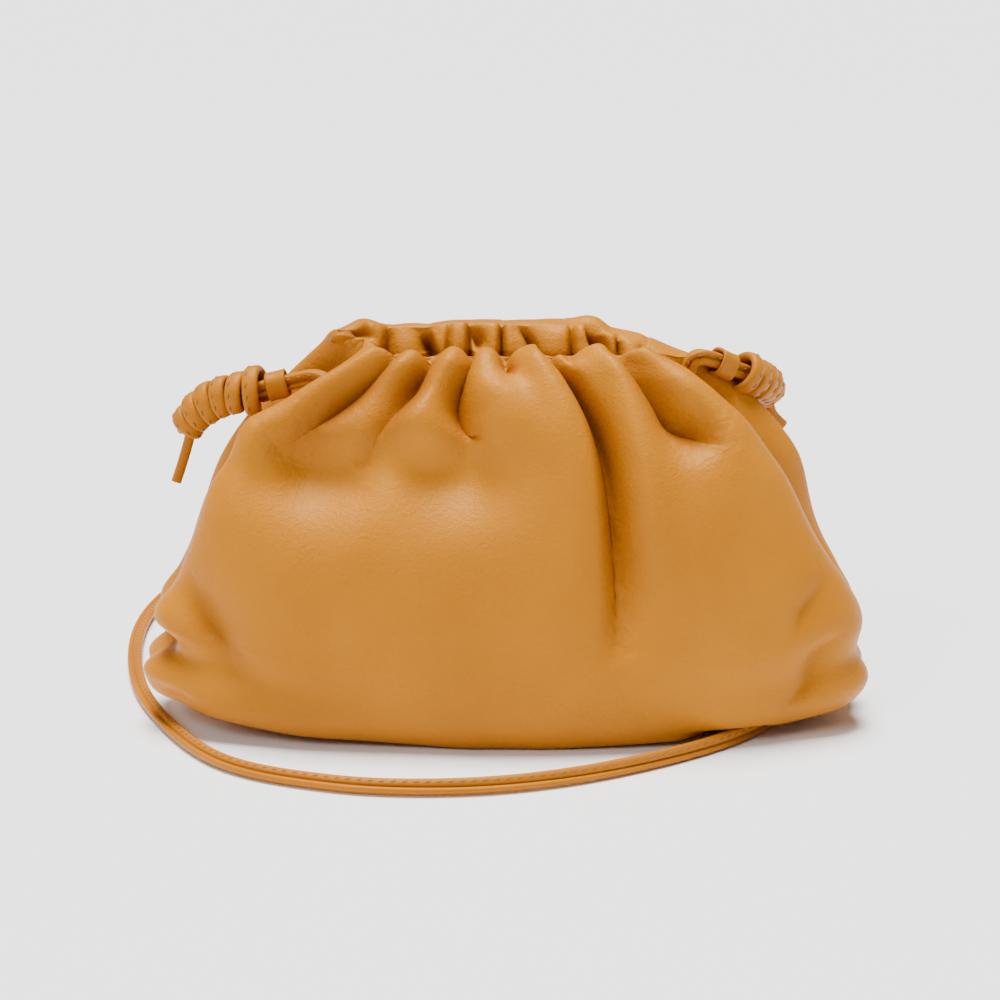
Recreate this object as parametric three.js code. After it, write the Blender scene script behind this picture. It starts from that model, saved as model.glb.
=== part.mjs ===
// A small soft leather pouch clutch with a gathered mouth and a narrow knotted shoulder strap.
// Millimetres. X runs to the bag's right as it is looked at, Y goes back, Z is up.
// The origin is on the ground, in the middle of the flat patch that the pouch rests on.

import * as THREE from 'three';

// Driving sizes of the pouch
const HALF_WIDTH = 110; // middle to the tip of a bottom corner
const LIP_HEIGHT = 117; // ground to the crest of the front lip
const HALF_DEPTH = 41; // middle plane to the belly
const WALL = 1.8; // leather with its backing
const MOUTH_GAP = 1.6; // between the two hems of the shut mouth
const REST_PRESS = 1.2; // how much of the round underside the ground flattens
const COLUMNS = 42; // faces across one panel

// Driving sizes of the strap and what is on it
const STRAP_WIDTH = 5.5;
const STRAP_THICKNESS = 3;
const KEEPER_LENGTH = 6.4;
const KEEPER_WALL = 1.2;
const KEEPER_SET_BACK = 0.8; // from the keeper to the end of the strands
const KNOT_RADIUS = 6.2;
const KNOT_TURNS = 7;
const KNOT_SIDES = 10;
const KNOT_END = 0.6; // radius of the knot's flat ends, of its radius
const TAIL_TIP = 0.7; // width of the tail's tip as a share of the strap's width
const GAP = 0.3; // between pieces that touch on the real bag

const LEATHER = { color: 0xc58433, roughness: 0.45, metalness: 0 };
const STRAP_LEATHER = { color: 0xb97527, roughness: 0.5, metalness: 0 };

// Sections of the two panels, from the hem inside the mouth over the lip and down to the middle of the base.
// down: share of the way. width: of HALF_WIDTH. middle and edge: heights, of LIP_HEIGHT.
// depth and side: distance from the middle plane at the middle and at the side, of HALF_DEPTH.
// tuck: how far the side seam sinks between the panels, of HALF_DEPTH.
const SECTION_COLUMNS = ['down', 'width', 'middle', 'edge', 'depth', 'side', 'tuck'];
const FRONT_SECTIONS = [
  [0.0, 0.47, 0.925, 0.82, 0.0, 0.0, 0.02],
  [0.04, 0.49, 0.965, 0.865, 0.0, 0.0, 0.03],
  [0.07, 0.51, 1.0, 0.895, 0.09, 0.09, 0.07],
  [0.1, 0.55, 0.985, 0.9, 0.19, 0.17, 0.2],
  [0.17, 0.64, 0.925, 0.865, 0.33, 0.25, 0.36],
  [0.27, 0.745, 0.82, 0.785, 0.52, 0.29, 0.42],
  [0.4, 0.82, 0.66, 0.665, 0.75, 0.3, 0.38],
  [0.53, 0.86, 0.47, 0.52, 0.92, 0.29, 0.27],
  [0.64, 0.935, 0.315, 0.385, 1.0, 0.25, 0.15],
  [0.72, 0.975, 0.215, 0.285, 1.01, 0.22, 0.07],
  [0.78, 0.967, 0.13, 0.21, 0.985, 0.2, 0.04],
  [0.84, 1.0, 0.06, 0.14, 0.93, 0.2, 0.05],
  [0.9, 0.965, 0.012, 0.07, 0.8, 0.15, 0.06],
  [0.95, 0.88, 0.0, 0.045, 0.48, 0.1, 0.05],
  [1.0, 0.8, 0.0, 0.04, 0.0, 0.0, 0.0],
];
const BACK_SECTIONS = [
  [0.0, 0.47, 0.925, 0.82, 0.0, 0.0, 0.02],
  [0.04, 0.49, 0.97, 0.87, 0.0, 0.0, 0.03],
  [0.07, 0.51, 1.04, 0.92, 0.13, 0.11, 0.07],
  [0.1, 0.55, 1.04, 0.925, 0.27, 0.19, 0.2],
  [0.17, 0.65, 0.955, 0.87, 0.42, 0.26, 0.37],
  [0.27, 0.75, 0.825, 0.79, 0.56, 0.29, 0.43],
  [0.4, 0.825, 0.66, 0.67, 0.76, 0.3, 0.39],
  [0.53, 0.865, 0.47, 0.52, 0.91, 0.29, 0.27],
  [0.64, 0.935, 0.315, 0.385, 0.98, 0.25, 0.15],
  [0.72, 0.975, 0.215, 0.285, 0.99, 0.22, 0.07],
  [0.78, 0.967, 0.13, 0.21, 0.965, 0.2, 0.04],
  [0.84, 1.0, 0.06, 0.14, 0.91, 0.2, 0.05],
  [0.9, 0.965, 0.012, 0.07, 0.78, 0.15, 0.06],
  [0.95, 0.88, 0.0, 0.045, 0.48, 0.1, 0.05],
  [1.0, 0.8, 0.0, 0.04, 0.0, 0.0, 0.0],
];
const ROWS = [
  0, 0.025, 0.045, 0.06, 0.075, 0.09, 0.115, 0.145, 0.175, 0.21, 0.25, 0.29, 0.335,
  0.385, 0.44, 0.5, 0.56, 0.62, 0.68, 0.74, 0.79, 0.84, 0.885, 0.925, 0.96, 1,
];
const SIDE_FROM = 0.84; // share of a panel's columns where it turns in to the side seam
const SIDE_TURN = THREE.MathUtils.degToRad(78);

// Folds. at: points of the fold's line, x of HALF_WIDTH and z of LIP_HEIGHT. depth: at each point, of HALF_DEPTH,
// a ridge above 0 and a crease below. left, right: how far it spreads, of HALF_WIDTH. sharp: 1 a crease, 2 round.
// lean: how far the leather beside it hangs over it, of HALF_WIDTH, from the right above 0 and from the left below.
const FOLD_COLUMNS = ['at', 'depth', 'left', 'right', 'sharp', 'lean'];
const FRONT_FOLDS = [
  [[[-0.29, 0.97], [-0.43, 0.934], [-0.55, 0.867], [-0.69, 0.775]], [0.05, 0.09, 0.1, 0.05], 0.06, 0.045, 2, 0],
  [[[-0.275, 0.985], [-0.38, 0.915], [-0.5, 0.845], [-0.62, 0.785]], [-0.06, -0.13, -0.1, -0.01], 0.03, 0.04, 1.1, 0],
  [[[-0.211, 0.99], [-0.34, 0.935], [-0.45, 0.867], [-0.506, 0.77]], [0.06, 0.1, 0.09, 0.02], 0.045, 0.045, 2, 0],
  [[[-0.198, 0.985], [-0.25, 0.91], [-0.34, 0.83]], [-0.08, -0.15, -0.02], 0.03, 0.045, 1.1, 0],
  [[[-0.1, 0.99], [-0.182, 0.921], [-0.254, 0.859], [-0.32, 0.8]], [0.07, 0.11, 0.09, 0.02], 0.045, 0.045, 2, 0],
  [[[-0.078, 0.985], [-0.1, 0.926], [-0.11, 0.86], [-0.05, 0.79]], [-0.08, -0.2, -0.22, -0.02], 0.04, 0.025, 1.1, 0],
  [[[-0.041, 0.995], [-0.05, 0.941], [-0.055, 0.89], [-0.015, 0.845]], [0.06, 0.12, 0.15, 0.06], 0.03, 0.05, 2, 0],
  [[[-0.004, 0.985], [0.008, 0.96], [0.03, 0.93]], [-0.08, -0.14, -0.02], 0.02, 0.03, 1.1, 0],
  [[[0.037, 0.995], [0.1, 0.945], [0.17, 0.85], [0.245, 0.63]], [0.05, 0.12, 0.12, 0.02], 0.06, 0.035, 2, 0],
  [[[0.085, 0.985], [0.18, 0.865], [0.24, 0.75], [0.31, 0.46], [0.325, 0.36]], [-0.08, -0.2, -0.2, -0.08, -0.01], 0.03, 0.06, 1.1, 0],
  [[[0.21, 0.985], [0.3, 0.923], [0.36, 0.763], [0.39, 0.52]], [0.05, 0.1, 0.09, 0.03], 0.06, 0.08, 2, 0],
  [[[0.315, 0.975], [0.368, 0.909], [0.44, 0.825], [0.59, 0.755]], [-0.06, -0.15, -0.15, -0.01], 0.03, 0.045, 1.1, 0],
  [[[0.345, 0.985], [0.479, 0.892], [0.587, 0.81], [0.69, 0.68]], [0.05, 0.12, 0.1, 0.03], 0.05, 0.05, 2, 0],
  [[[0.47, 0.945], [0.643, 0.819], [0.727, 0.727], [0.838, 0.563], [0.94, 0.37]], [-0.03, -0.1, -0.08, -0.05, -0.01], 0.025, 0.05, 1.2, 0],
  [[[-0.52, 0.7], [-0.5, 0.6]], [-0.05, -0.02], 0.09, 0.09, 2, 0],
  [[[-0.175, 0.755], [-0.08, 0.7]], [-0.05, -0.05], 0.1, 0.1, 2, 0],
  [[[-0.66, 0.58], [-0.64, 0.5]], [0.04, 0.03], 0.12, 0.12, 2, 0],
  [[[0.53, 0.71], [0.55, 0.5], [0.55, 0.3]], [0.05, 0.04, 0.01], 0.05, 0.08, 2, 0],
  [[[-0.85, 0.43], [-0.85, 0.35], [-0.8, 0.28], [-0.75, 0.2]], [-0.02, -0.07, -0.06, -0.02], 0.05, 0.06, 1.3, 0],
  [[[0.9, 0.28], [0.84, 0.22], [0.8, 0.14], [0.73, 0.08]], [-0.02, -0.07, -0.07, -0.01], 0.04, 0.05, 1.3, 0],
];
const BACK_FOLDS = [
  [[[-0.4, 1.03], [-0.47, 0.95], [-0.6, 0.8]], [-0.05, -0.14, -0.03], 0.04, 0.05, 1.1, 0],
  [[[-0.3, 1.04], [-0.36, 0.92], [-0.42, 0.76]], [-0.05, -0.15, -0.02], 0.035, 0.05, 1.1, 0],
  [[[-0.187, 1.04], [-0.2, 0.9], [-0.22, 0.72]], [-0.06, -0.16, -0.02], 0.03, 0.05, 1.1, 0],
  [[[-0.094, 1.04], [-0.09, 0.92], [-0.08, 0.78]], [-0.05, -0.14, -0.02], 0.025, 0.03, 1.1, 0],
  [[[-0.012, 1.04], [0, 0.9], [0.02, 0.66]], [-0.05, -0.16, -0.02], 0.03, 0.04, 1.1, 0],
  [[[0.058, 1.04], [0.09, 0.92], [0.13, 0.8]], [-0.05, -0.13, -0.02], 0.02, 0.03, 1.1, 0],
  [[[0.165, 1.04], [0.22, 0.9], [0.27, 0.68]], [-0.06, -0.16, -0.02], 0.03, 0.04, 1.1, 0],
  [[[0.262, 1.04], [0.34, 0.92], [0.42, 0.78]], [-0.06, -0.15, -0.02], 0.03, 0.04, 1.1, 0],
  [[[0.34, 1.03], [0.46, 0.93], [0.62, 0.76]], [-0.05, -0.14, -0.03], 0.03, 0.05, 1.1, 0],
];
// Where the folds fade in below the mouth, as shares of the way down
const FADE_IN = { front: [0.05, 0.13], back: [0.035, 0.07] };
const FADE_OUT = [0.9, 0.97];

// The strap's hardware: where it leaves the pouch, where the knot begins and where the knot ends
const LEFT_SIDE = {
  root: [-61.4, 1.6, 110.0],
  strandsTo: [-74.1, 1.8, 104.6],
  knotFrom: [-74.9, 1.6, 103.9],
  knotTo: [-98.3, 3.6, 91],
  tailFrom: [-98.6, 3.6, 88.1],
  tailTo: [-100.9, 3.2, 75.4],
};
const RIGHT_SIDE = {
  root: [59.8, 0.5, 111],
  strandsTo: [73.9, 5.6, 108.6],
  knotFrom: [77.6, 7.9, 108],
  knotTo: [80.6, 29.1, 94.9],
  tailFrom: [82.0, 30.2, 93.3],
  tailTo: [87, 33, 82.5],
};

// The strap's own way, points chosen by hand: from the left knot down behind the pouch, along the ground
// round the left side and the front, under the right corner, and up behind the pouch to the right knot.
const STRAP_GROUND = STRAP_WIDTH / 2 + 0.5;
const STRAP_ROUTE = [
  [-80, 8.7, 101.4], [-81, 19, 101], [-82, 33, 88], [-81, 41, 60], [-78, 46, 30], [-71, 56, 9],
  [-56, 74, STRAP_GROUND], [-38, 98, STRAP_GROUND], [-34, 128, STRAP_GROUND], [-53, 154, STRAP_GROUND],
  [-84, 160, STRAP_GROUND], [-110, 140, STRAP_GROUND],
  [-121, 100, STRAP_GROUND], [-121, 54, STRAP_GROUND], [-110, 4, STRAP_GROUND], [-84, -47, STRAP_GROUND],
  [-50, -70, STRAP_GROUND], [-14, -77, STRAP_GROUND], [24, -66, STRAP_GROUND], [52, -46, STRAP_GROUND],
  [74, -22, STRAP_GROUND], [93, 12, STRAP_GROUND], [103, 52, STRAP_GROUND], [98, 92, STRAP_GROUND],
  [82, 110, STRAP_GROUND], [64, 102, STRAP_GROUND], [57, 82, STRAP_GROUND], [59, 62, 7], [62, 52, 26],
  [65, 48, 56], [69, 43, 82], [77.6, 31.6, 95.4],
];
const STRAP_STEPS = 78;

// Where the underside lies over the strap it rises by the strap's width and a clearance, over a bed of this size
const BED = { half: 7, fade: 9, clearance: 1.2 };

function table(columns, rows) {
  return rows.map((row) => Object.fromEntries(columns.map((name, i) => [name, row[i]])));
}

function smooth(value, from, to) {
  const u = Math.min(Math.max((value - from) / (to - from), 0), 1);
  return u * u * (3 - 2 * u);
}

// A smooth curve through the rows of a section table, which doesn't overshoot them.
function sectionAt(rows, down) {
  let i = 0;
  while (i < rows.length - 2 && rows[i + 1].down <= down) i += 1;
  const width = (k) => rows[k + 1].down - rows[k].down;
  const slope = (k, name) => (rows[k + 1][name] - rows[k][name]) / width(k);
  const tangent = (k, name) => {
    if (k === 0) return slope(0, name);
    if (k === rows.length - 1) return slope(k - 1, name);
    const before = slope(k - 1, name);
    const after = slope(k, name);
    return before * after > 0 ? (2 * before * after) / (before + after) : 0;
  };
  const h = width(i);
  const u = (down - rows[i].down) / h;
  const result = {};
  for (const name of SECTION_COLUMNS.slice(1)) {
    const start = rows[i][name] * (1 + 2 * u) * (1 - u) ** 2 + tangent(i, name) * h * u * (1 - u) ** 2;
    const end = rows[i + 1][name] * u * u * (3 - 2 * u) + tangent(i + 1, name) * h * u * u * (u - 1);
    result[name] = start + end;
  }
  return result;
}

// One point of a panel before its folds. across runs from -1 at the left seam to 1 at the right.
function panelPoint(rows, sign, down, across) {
  const row = sectionAt(rows, down);
  const a = Math.abs(across);
  const arch = Math.min(a / SIDE_FROM, 1) * (Math.PI / 2);
  const turn = Math.max((a - SIDE_FROM) / (1 - SIDE_FROM), 0) * SIDE_TURN;
  const width = row.width * HALF_WIDTH;
  const turned = (1 - Math.cos(turn)) / (1 - Math.cos(SIDE_TURN));
  const tuck = row.tuck * HALF_DEPTH * turned ** 0.7;
  const x = width * Math.sin(arch) ** 0.92 - tuck;
  const depth = row.side + (row.depth - row.side) * Math.max(Math.cos(arch), 0) ** 0.85;
  const open = (MOUTH_GAP / 2) * (1 - down);
  const y = (open + depth * HALF_DEPTH) * (1 - Math.sin(turn) / Math.sin(SIDE_TURN));
  const rise = row.middle + (row.edge - row.middle) * Math.min(x / width, 1) ** 2.2;
  return new THREE.Vector3(Math.sign(across) * x, sign * y, rise * LIP_HEIGHT);
}

// The seam is where the two panels meet, so both run into the mean of the two there.
function basePoint(sign, down, across) {
  const front = panelPoint(table(SECTION_COLUMNS, FRONT_SECTIONS), -1, down, across);
  const back = panelPoint(table(SECTION_COLUMNS, BACK_SECTIONS), 1, down, across);
  const own = sign < 0 ? front : back;
  const shared = smooth(Math.abs(across), SIDE_FROM, 1) / 2;
  const other = sign < 0 ? back : front;
  const point = new THREE.Vector3();
  point.x = own.x + (other.x - own.x) * shared;
  point.y = own.y;
  point.z = own.z + (other.z - own.z) * shared;
  point.z = Math.max(point.z - REST_PRESS, 0) + REST_PRESS * smooth(down, 0.9, 0.7);
  if (Math.abs(across) === 1 || down === 1) point.y = 0;
  return point;
}

function strapCurve() {
  return new THREE.CatmullRomCurve3(STRAP_ROUTE.map((p) => new THREE.Vector3(...p)), false, 'centripetal');
}

// The underside rises where it lies over the strap.
function liftOverStrap(point, strapPoints) {
  const away = Math.min(...strapPoints.map((on) => Math.hypot(point.x - on.x, point.y - on.y)));
  const top = STRAP_WIDTH + BED.clearance;
  const bed = top * (1 - smooth(away, BED.half, BED.half + BED.fade));
  if (point.z < top) point.z = Math.max(point.z, bed);
  return point;
}

// A smooth line through a fold's points, with the depth along it.
function foldLine(fold) {
  const ratio = LIP_HEIGHT / HALF_WIDTH;
  const points = fold.at.map((at, i) => new THREE.Vector3(at[0], at[1] * ratio, fold.depth[i]));
  return new THREE.CatmullRomCurve3(points, false, 'catmullrom', 0.5).getPoints(8 * (points.length - 1));
}

// What the folds do at one place of a panel: the depth along the surface's normal.
function foldDepth(folds, x, z) {
  const height = (z * LIP_HEIGHT) / HALF_WIDTH;
  let total = 0;
  for (const fold of folds) {
    let nearest = Infinity;
    let level = 0;
    let side = 0;
    for (let i = 0; i < fold.line.length - 1; i += 1) {
      const a = fold.line[i];
      const b = fold.line[i + 1];
      const runX = b.x - a.x;
      const runZ = b.y - a.y;
      const length = runX * runX + runZ * runZ + 1e-12;
      const u = Math.min(Math.max(((x - a.x) * runX + (height - a.y) * runZ) / length, 0), 1);
      const away = Math.hypot(x - a.x - u * runX, height - a.y - u * runZ);
      if (away < nearest) {
        nearest = away;
        level = a.z + u * (b.z - a.z);
        side = runX * (height - a.y) - runZ * (x - a.x);
      }
    }
    const spread = side > 0 ? fold.right : fold.left;
    total += level * Math.exp(-((nearest / spread) ** fold.sharp));
  }
  return total;
}

function foldWeight(panel, down, across) {
  const fadeIn = smooth(down, ...FADE_IN[panel]);
  const fadeOut = 1 - smooth(down, ...FADE_OUT);
  const seam = 1 - smooth(Math.abs(across), 0.9, 1);
  return fadeIn * fadeOut * seam;
}

// Keeps one copy of each place, so that the panels share their seam and the middle line of the base.
class Weld {
  constructor() {
    this.places = new Map();
    this.points = [];
    this.origins = [];
  }

  add(point, origin) {
    const key = [point.x, point.y, point.z].map((value) => Math.round(value * 500)).join(' ');
    if (!this.places.has(key)) {
      this.places.set(key, this.points.length);
      this.points.push(point);
      this.origins.push(origin);
    }
    return this.places.get(key);
  }
}

function addFace(faces, a, b, c) {
  if (a !== b && b !== c && a !== c) faces.push(a, b, c);
}

function geometryOf(points, faces) {
  const geometry = new THREE.BufferGeometry();
  geometry.setAttribute('position', new THREE.Float32BufferAttribute(points.flatMap((p) => p.toArray()), 3));
  geometry.setIndex(faces);
  geometry.computeVertexNormals();
  return geometry;
}

// The pouch: one leather shell, open only at the narrow gap between the hems of its mouth.
function pouchGeometry() {
  const folds = {
    front: table(FOLD_COLUMNS, FRONT_FOLDS).map((fold) => ({ ...fold, line: foldLine(fold) })),
    back: table(FOLD_COLUMNS, BACK_FOLDS).map((fold) => ({ ...fold, line: foldLine(fold) })),
  };
  const strapPoints = strapCurve().getSpacedPoints(4 * STRAP_STEPS).filter((on) => on.z < STRAP_WIDTH);
  const weld = new Weld();
  const rings = ROWS.map((down) => {
    const ring = [];
    for (let k = 0; k < 2 * COLUMNS; k += 1) {
      const panel = k < COLUMNS ? 'front' : 'back';
      const across = panel === 'front' ? -1 + (2 * k) / COLUMNS : 1 - (2 * (k - COLUMNS)) / COLUMNS;
      const point = basePoint(panel === 'front' ? -1 : 1, down, across);
      ring.push(weld.add(point, { panel, down, across }));
    }
    return ring;
  });

  const faces = [];
  const count = 2 * COLUMNS;
  for (let r = 0; r < rings.length - 1; r += 1) {
    for (let k = 0; k < count; k += 1) {
      const next = (k + 1) % count;
      addFace(faces, rings[r][k], rings[r + 1][k], rings[r + 1][next]);
      addFace(faces, rings[r][k], rings[r + 1][next], rings[r][next]);
    }
  }

  const normals = geometryOf(weld.points, faces).getAttribute('normal');
  const outer = [];
  const inner = [];
  weld.points.forEach((point, i) => {
    const { panel, down, across } = weld.origins[i];
    const normal = new THREE.Vector3().fromBufferAttribute(normals, i);
    const depth = foldDepth(folds[panel], point.x / HALF_WIDTH, point.z / LIP_HEIGHT) * foldWeight(panel, down, across);
    const folded = point.clone().addScaledVector(normal, depth * HALF_DEPTH);
    const lifted = down > 0.7 ? liftOverStrap(folded, strapPoints) : folded;
    outer.push(lifted);
    inner.push(lifted.clone().addScaledVector(normal, -WALL));
  });

  const shift = outer.length;
  const all = [...faces];
  for (let i = 0; i < faces.length; i += 3) {
    addFace(all, faces[i] + shift, faces[i + 2] + shift, faces[i + 1] + shift);
  }
  for (let k = 0; k < count; k += 1) {
    const a = rings[0][k];
    const b = rings[0][(k + 1) % count];
    addFace(all, a, b, b + shift);
    addFace(all, a, b + shift, a + shift);
  }
  return geometryOf([...outer, ...inner], all);
}

// A frame whose Z runs from one point to another, with X kept as level as it can be.
function placeAlong(mesh, from, to) {
  const along = new THREE.Vector3().subVectors(to, from).normalize();
  const level = new THREE.Vector3().crossVectors(new THREE.Vector3(0, 0, 1), along).normalize();
  const third = new THREE.Vector3().crossVectors(along, level);
  mesh.quaternion.setFromRotationMatrix(new THREE.Matrix4().makeBasis(level, third, along));
  mesh.position.copy(from);
  return mesh;
}

function roundedBox(width, height, radius) {
  const shape = new THREE.Shape();
  const x = width / 2;
  const y = height / 2;
  shape.moveTo(-x + radius, -y);
  shape.lineTo(x - radius, -y);
  shape.absarc(x - radius, -y + radius, radius, -Math.PI / 2, 0);
  shape.lineTo(x, y - radius);
  shape.absarc(x - radius, y - radius, radius, 0, Math.PI / 2);
  shape.lineTo(-x + radius, y);
  shape.absarc(-x + radius, y - radius, radius, Math.PI / 2, Math.PI);
  shape.lineTo(-x, -y + radius);
  shape.absarc(-x + radius, -y + radius, radius, Math.PI, 1.5 * Math.PI);
  return shape;
}

// The doubled strap between the pouch and the knot: two strands, one above the other, joined inside the pouch.
const STRANDS_HEIGHT = 2 * STRAP_THICKNESS + GAP;
function strandsGeometry(length) {
  const shape = new THREE.Shape();
  const y = STRANDS_HEIGHT / 2;
  const slit = GAP / 2;
  shape.moveTo(0, -y);
  shape.lineTo(length, -y);
  shape.lineTo(length, -slit);
  shape.lineTo(STRAP_THICKNESS, -slit);
  shape.lineTo(STRAP_THICKNESS, slit);
  shape.lineTo(length, slit);
  shape.lineTo(length, y);
  shape.lineTo(0, y);
  const geometry = new THREE.ExtrudeGeometry(shape, { depth: STRAP_WIDTH, bevelEnabled: false });
  geometry.translate(0, 0, -STRAP_WIDTH / 2);
  geometry.rotateY(-Math.PI / 2);
  return geometry;
}

function keeperGeometry() {
  const hole = { width: STRAP_WIDTH + 2 * GAP, height: STRANDS_HEIGHT + 2 * GAP };
  const outside = roundedBox(hole.width + 2 * KEEPER_WALL, hole.height + 2 * KEEPER_WALL, 1.4);
  outside.holes.push(roundedBox(hole.width, hole.height, 0.4));
  return new THREE.ExtrudeGeometry(outside, { depth: KEEPER_LENGTH, bevelEnabled: false, curveSegments: 3 });
}

// The knot is the strap's end wound round itself: one round swelling for each turn.
function knotGeometry(length) {
  const pitch = length / KNOT_TURNS;
  const profile = [new THREE.Vector2(0, 0), new THREE.Vector2(KNOT_RADIUS * KNOT_END, 0)];
  for (let turn = 0; turn < KNOT_TURNS; turn += 1) {
    const swell = KNOT_RADIUS * (0.93 + 0.07 * Math.sin((Math.PI * (turn + 0.5)) / KNOT_TURNS));
    profile.push(new THREE.Vector2(swell * 0.95, (turn + 0.22) * pitch));
    profile.push(new THREE.Vector2(swell, (turn + 0.5) * pitch));
    profile.push(new THREE.Vector2(swell * 0.95, (turn + 0.78) * pitch));
    if (turn < KNOT_TURNS - 1) profile.push(new THREE.Vector2(swell * 0.83, (turn + 1) * pitch));
  }
  profile.push(new THREE.Vector2(KNOT_RADIUS * KNOT_END, length), new THREE.Vector2(0, length));
  const geometry = new THREE.LatheGeometry(profile, KNOT_SIDES);
  geometry.rotateX(Math.PI / 2);
  return geometry;
}

function tailGeometry(length) {
  const section = roundedBox(STRAP_WIDTH * 0.8, STRAP_THICKNESS, 1.2);
  const geometry = new THREE.ExtrudeGeometry(section, { depth: length, bevelEnabled: false, curveSegments: 2, steps: 2 });
  const position = geometry.getAttribute('position');
  for (let i = 0; i < position.count; i += 1) {
    const narrow = 1 - (1 - TAIL_TIP) * (position.getZ(i) / length);
    position.setXY(i, position.getX(i) * narrow, position.getY(i) * narrow);
  }
  return geometry;
}

function strapGeometry() {
  const section = new THREE.Shape();
  const sides = 8;
  for (let i = 0; i < sides; i += 1) {
    const angle = (2 * Math.PI * (i + 0.5)) / sides;
    const x = (STRAP_WIDTH / 2) * Math.cos(angle);
    const y = (STRAP_WIDTH / 2) * Math.sin(angle);
    if (i === 0) section.moveTo(x, y);
    else section.lineTo(x, y);
  }
  section.closePath();
  return new THREE.ExtrudeGeometry(section, { steps: STRAP_STEPS, extrudePath: strapCurve(), bevelEnabled: false });
}

function named(name, geometry, material) {
  const mesh = new THREE.Mesh(geometry, new THREE.MeshStandardMaterial(material));
  mesh.name = name;
  return mesh;
}

// The strands, keeper, knot and tail on one side of the pouch.
function strapEnd(name, side) {
  const at = Object.fromEntries(Object.entries(side).map(([key, place]) => [key, new THREE.Vector3(...place)]));
  const group = new THREE.Group();
  const reach = at.root.distanceTo(at.strandsTo);
  const along = new THREE.Vector3().subVectors(at.strandsTo, at.root).normalize();
  const keeperFrom = at.strandsTo.clone().addScaledVector(along, -KEEPER_LENGTH - KEEPER_SET_BACK);
  const knotLength = at.knotFrom.distanceTo(at.knotTo);
  const tailLength = at.tailFrom.distanceTo(at.tailTo);
  const strands = named(`strap_loop_${name}`, strandsGeometry(reach), STRAP_LEATHER);
  const keeper = named(`keeper_${name}`, keeperGeometry(), LEATHER);
  const knot = named(`knot_${name}`, knotGeometry(knotLength), STRAP_LEATHER);
  const tail = named(`tail_${name}`, tailGeometry(tailLength), STRAP_LEATHER);
  placeAlong(strands, at.root, at.strandsTo);
  placeAlong(keeper, keeperFrom, at.strandsTo);
  placeAlong(knot, at.knotFrom, at.knotTo);
  placeAlong(tail, at.tailFrom, at.tailTo);
  group.add(strands, keeper, knot, tail);
  return group;
}

const bag = new THREE.Group();
bag.add(named('pouch_body', pouchGeometry(), LEATHER));
bag.add(strapEnd('left', LEFT_SIDE));
bag.add(strapEnd('right', RIGHT_SIDE));
bag.add(named('strap', strapGeometry(), STRAP_LEATHER));

export default bag;
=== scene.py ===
"""A small soft leather pouch clutch with a gathered mouth and a knotted strap: its looks.

Lengths in the tables are millimetres or shares of the named sizes, and MM turns millimetres into metres.
"""
import math
from collections import namedtuple

import bmesh
import bpy
import numpy as np
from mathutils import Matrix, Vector


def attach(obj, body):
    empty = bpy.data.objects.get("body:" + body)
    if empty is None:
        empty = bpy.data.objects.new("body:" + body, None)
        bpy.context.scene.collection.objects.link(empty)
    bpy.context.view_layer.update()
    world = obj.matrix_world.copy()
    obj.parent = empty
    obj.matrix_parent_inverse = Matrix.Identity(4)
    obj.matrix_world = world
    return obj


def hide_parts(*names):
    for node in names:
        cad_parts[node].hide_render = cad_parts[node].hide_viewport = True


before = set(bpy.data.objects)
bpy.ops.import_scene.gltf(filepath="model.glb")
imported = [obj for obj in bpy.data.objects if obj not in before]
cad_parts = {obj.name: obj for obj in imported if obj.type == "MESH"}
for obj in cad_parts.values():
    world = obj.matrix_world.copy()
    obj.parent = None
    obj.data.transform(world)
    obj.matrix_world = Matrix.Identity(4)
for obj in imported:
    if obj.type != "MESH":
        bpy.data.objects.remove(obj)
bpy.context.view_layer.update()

MM = 0.001
UP = (0.0, 0.0, 1.0)
FAR = 1e9

# The pouch
HALF_WIDTH = 110.0
LIP_HEIGHT = 117.0
HALF_DEPTH = 41.0
MOUTH_GAP = 1.6
# The base is pressed flat by this much where it rests, which sets in between these shares of the way down
REST_PRESS = 1.2
REST_FADE = (0.7, 0.9)
# Half a panel is an arch up to this share of its width, and the rest turns by this angle into the seam
SIDE_FROM = 0.84
SIDE_TURN = math.radians(78)
# The two halves of a panel meet over this share of the width
MIDDLE_BLEND = 0.25
# Exponents of the arch's width and depth, of the tuck along the turn and of the edge's fall to the side
ARCH_WIDTH_POWER = 0.92
ARCH_DEPTH_POWER = 0.85
TUCK_POWER = 0.7
EDGE_POWER = 2.2

# The strap and its hardware
STRAP_WIDTH = 4.8
STRAP_THICKNESS = 2.6
STRAP_CLEARANCE = 0.15
# The height that the strap's route gives where it lies, and the rise over which it leaves the ground
STRAP_GROUND = STRAP_WIDTH / 2 + 0.5
STRAP_RISE = 8
# Points over which the direction of the strap's width is evened out
LEVEL_REACH = 12
# The underside lies this high over the strap, and comes down between these distances beside it. It starts
# at this share of the way down.
STRAP_BED = STRAP_WIDTH + 0.8
BED_FADE = (5, 14)
BASE_FROM = 0.7
# The keeper: half its hollow's depth and height, and how round its section is, from 0 for a square to 1
KEEPER_LENGTH = 6.2
KEEPER_WALL = 1.1
KEEPER_HALF_DEPTH = STRAP_THICKNESS * 1.08 + 0.35
KEEPER_HALF_HEIGHT = STRAP_WIDTH / 2 + 0.75
KEEPER_ROUND = 0.72
KEEPER_SIDES = 72
# The knots: steps to a turn, and how unevenly their turns run, as a share of the radius and by turn
TURN_STEPS = 64
KNOT_WOBBLE = 0.025
WOBBLE_PACE = 2.3
# The two strands in a keeper: how far from the middle, of the thickness, and how far up, in millimetres
STRANDS = ((-0.52, 0.15), (0.52, -0.15))
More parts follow.
